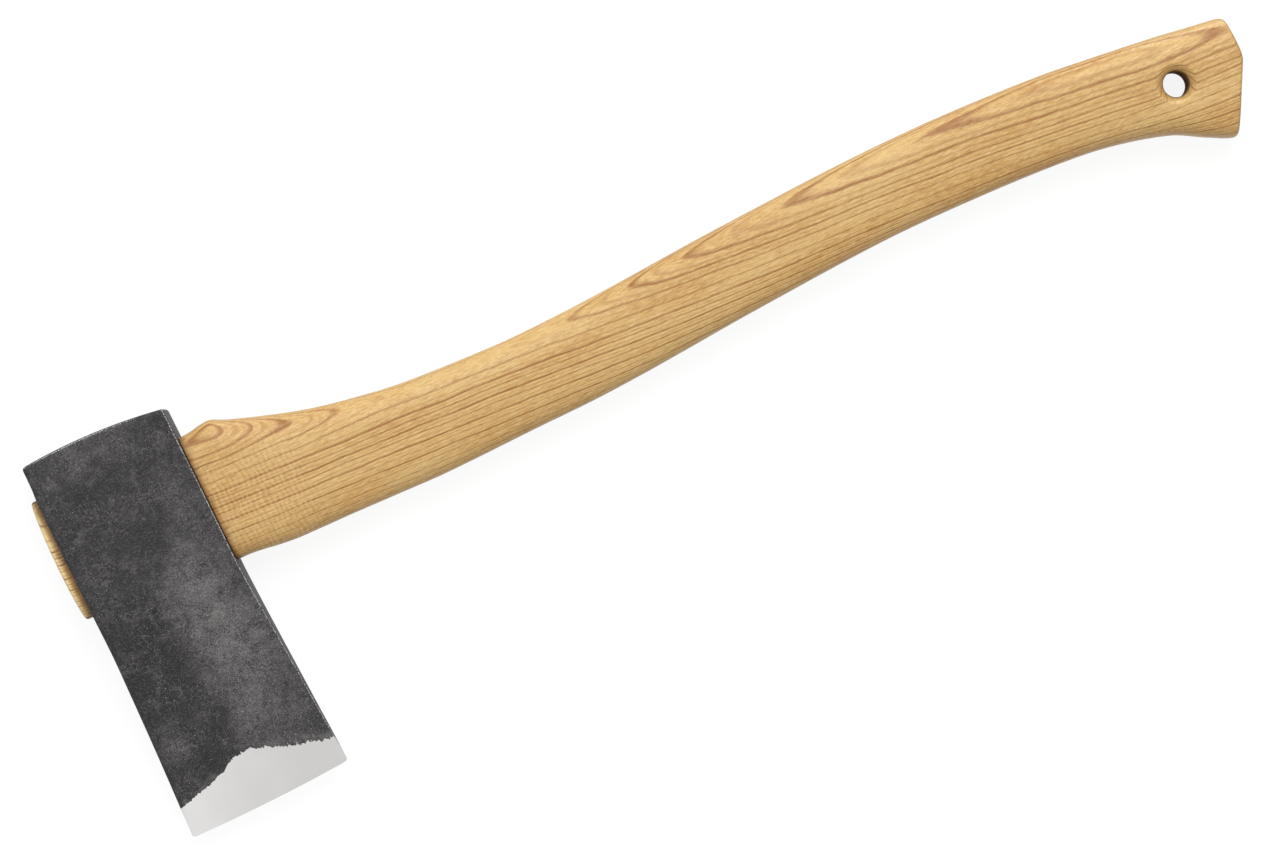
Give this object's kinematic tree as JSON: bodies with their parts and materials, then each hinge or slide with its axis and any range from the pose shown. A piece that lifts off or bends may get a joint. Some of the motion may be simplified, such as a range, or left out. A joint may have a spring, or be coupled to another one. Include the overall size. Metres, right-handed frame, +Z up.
{
  "type": "carving hatchet",
  "caption": "Carving hatchet with a narrow forged wedge head, ground cutting bevels and a curved wooden haft, wedged in the eye and ending in a swelled knob with a hanging hole.",
  "frame": {"origin": "middle of the footprint of the hatchet as it lies on one cheek of its head", "axes": "+X along the eye and haft from the head to the knob, +Y from the cutting edge towards the poll, +Z up out of the upper cheek"},
  "size_m": [0.517, 0.1638, 0.03],
  "materials": {
    "forged_steel": "dark forge scale, satin, with bright ground bevels at the edge",
    "haft_wood": "pale hickory, sanded and oiled",
    "wedge_wood": "darker hardwood, sawn end grain",
    "ring_steel": "bare drawn steel"
  },
  "bodies": {
    "root": {"head": "forged_steel", "haft": "haft_wood", "wood_wedge": "wedge_wood", "ring_wedge": "ring_steel"}
  },
  "joints": []
}
